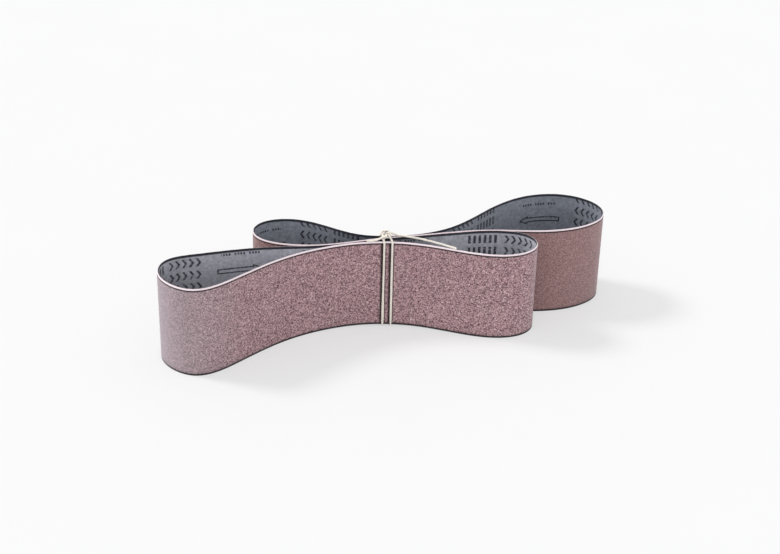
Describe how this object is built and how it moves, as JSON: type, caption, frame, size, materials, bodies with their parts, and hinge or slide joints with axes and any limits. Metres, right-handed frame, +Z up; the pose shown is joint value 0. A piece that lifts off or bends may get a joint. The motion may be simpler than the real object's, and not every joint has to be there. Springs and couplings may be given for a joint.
{
  "type": "sanding belt pair, tied",
  "caption": "Cloth-backed abrasive belts stood on edge and tied at the waist with cord, so that each band makes a short lobe and a long lobe.",
  "frame": {"origin": "under the middle of the bounding box, on the surface that the belts stand on", "axes": "+X along the tied waist towards the rear belt's long lobe, +Y from the front belt to the rear one, +Z up across the belts' width"},
  "size_m": [0.5056, 0.144, 0.1101],
  "materials": {
    "coarse_abrasive_cloth": "coarse pinkish brown grain on grey cloth",
    "fine_abrasive_cloth": "fine reddish brown grain on grey cloth",
    "cotton_cord": "twisted off-white cotton"
  },
  "bodies": {
    "root": {"front_belt": "coarse_abrasive_cloth", "rear_belt": "fine_abrasive_cloth", "tie_cord": "cotton_cord"}
  },
  "joints": []
}
